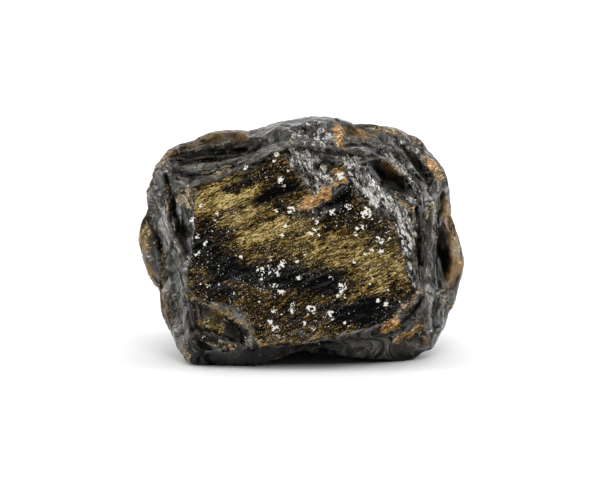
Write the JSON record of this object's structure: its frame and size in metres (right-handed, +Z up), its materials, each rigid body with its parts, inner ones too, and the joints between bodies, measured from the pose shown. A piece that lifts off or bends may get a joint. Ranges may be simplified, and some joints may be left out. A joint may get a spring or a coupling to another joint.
{
  "type": "raw golden sheen obsidian stone",
  "caption": "Rough block of black volcanic glass with one broad golden sheen face framed by conchoidal scars, standing on its lower side.",
  "frame": {"origin": "middle of the stone's box, on the ground it stands on", "axes": "+X to the right as the golden face is looked at, +Y away from the viewer, +Z up; the golden face looks along -Y"},
  "size_m": [0.0648, 0.0428, 0.047],
  "materials": {
    "raw_obsidian": "glossy black volcanic glass with a golden sheen face, grey chips, brown thin edges and tan stains"
  },
  "bodies": {
    "root": {"stone": "raw_obsidian"}
  },
  "joints": []
}
